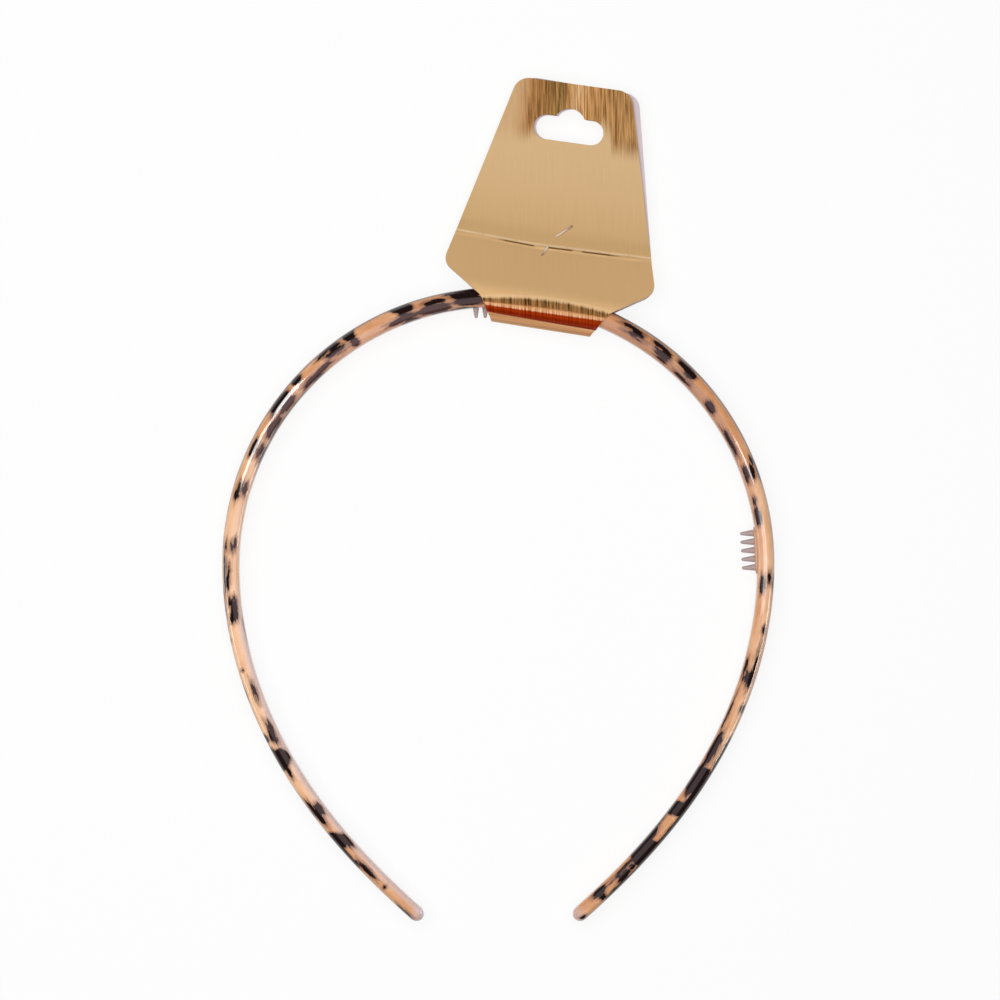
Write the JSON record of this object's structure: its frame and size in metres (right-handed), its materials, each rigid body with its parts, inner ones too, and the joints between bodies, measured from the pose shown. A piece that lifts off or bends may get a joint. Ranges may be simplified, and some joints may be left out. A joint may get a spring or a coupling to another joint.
{
  "type": "headband",
  "caption": "Curved hair band in glossy tortoise-print plastic with clear comb strips inside and a stapled gold hang card folded round its crown.",
  "frame": {"origin": "centre of the crown's half circle, at the middle of the band's depth, which is the middle of the head that wears it", "axes": "+X to the arm with the side comb strip, +Y through the top of the crown towards the hang card, +Z out of the front leaf of the card, up as the band lies flat"},
  "size_m": [0.1448, 0.2211, 0.0092],
  "materials": {
    "tortoise_plastic": "polished peach plastic with a dark brown tortoise blotch print",
    "clear_plastic": "clear moulded plastic with a pinkish cast",
    "gold_foil_card": "thin board with brushed gold foil outside and white inside",
    "staple_steel": "bright drawn steel wire"
  },
  "bodies": {
    "band": {"band": "tortoise_plastic", "crown_comb": "clear_plastic", "side_comb": "clear_plastic"},
    "card": {"hang_card": "gold_foil_card", "staple": "staple_steel"}
  },
  "joints": [
    {"name": "card_slide", "type": "hinge", "parent": "band", "child": "card", "pos_m": [0, 0, 0], "axis": [0, 0, 1], "range_deg": [-55, 75]}
  ]
}
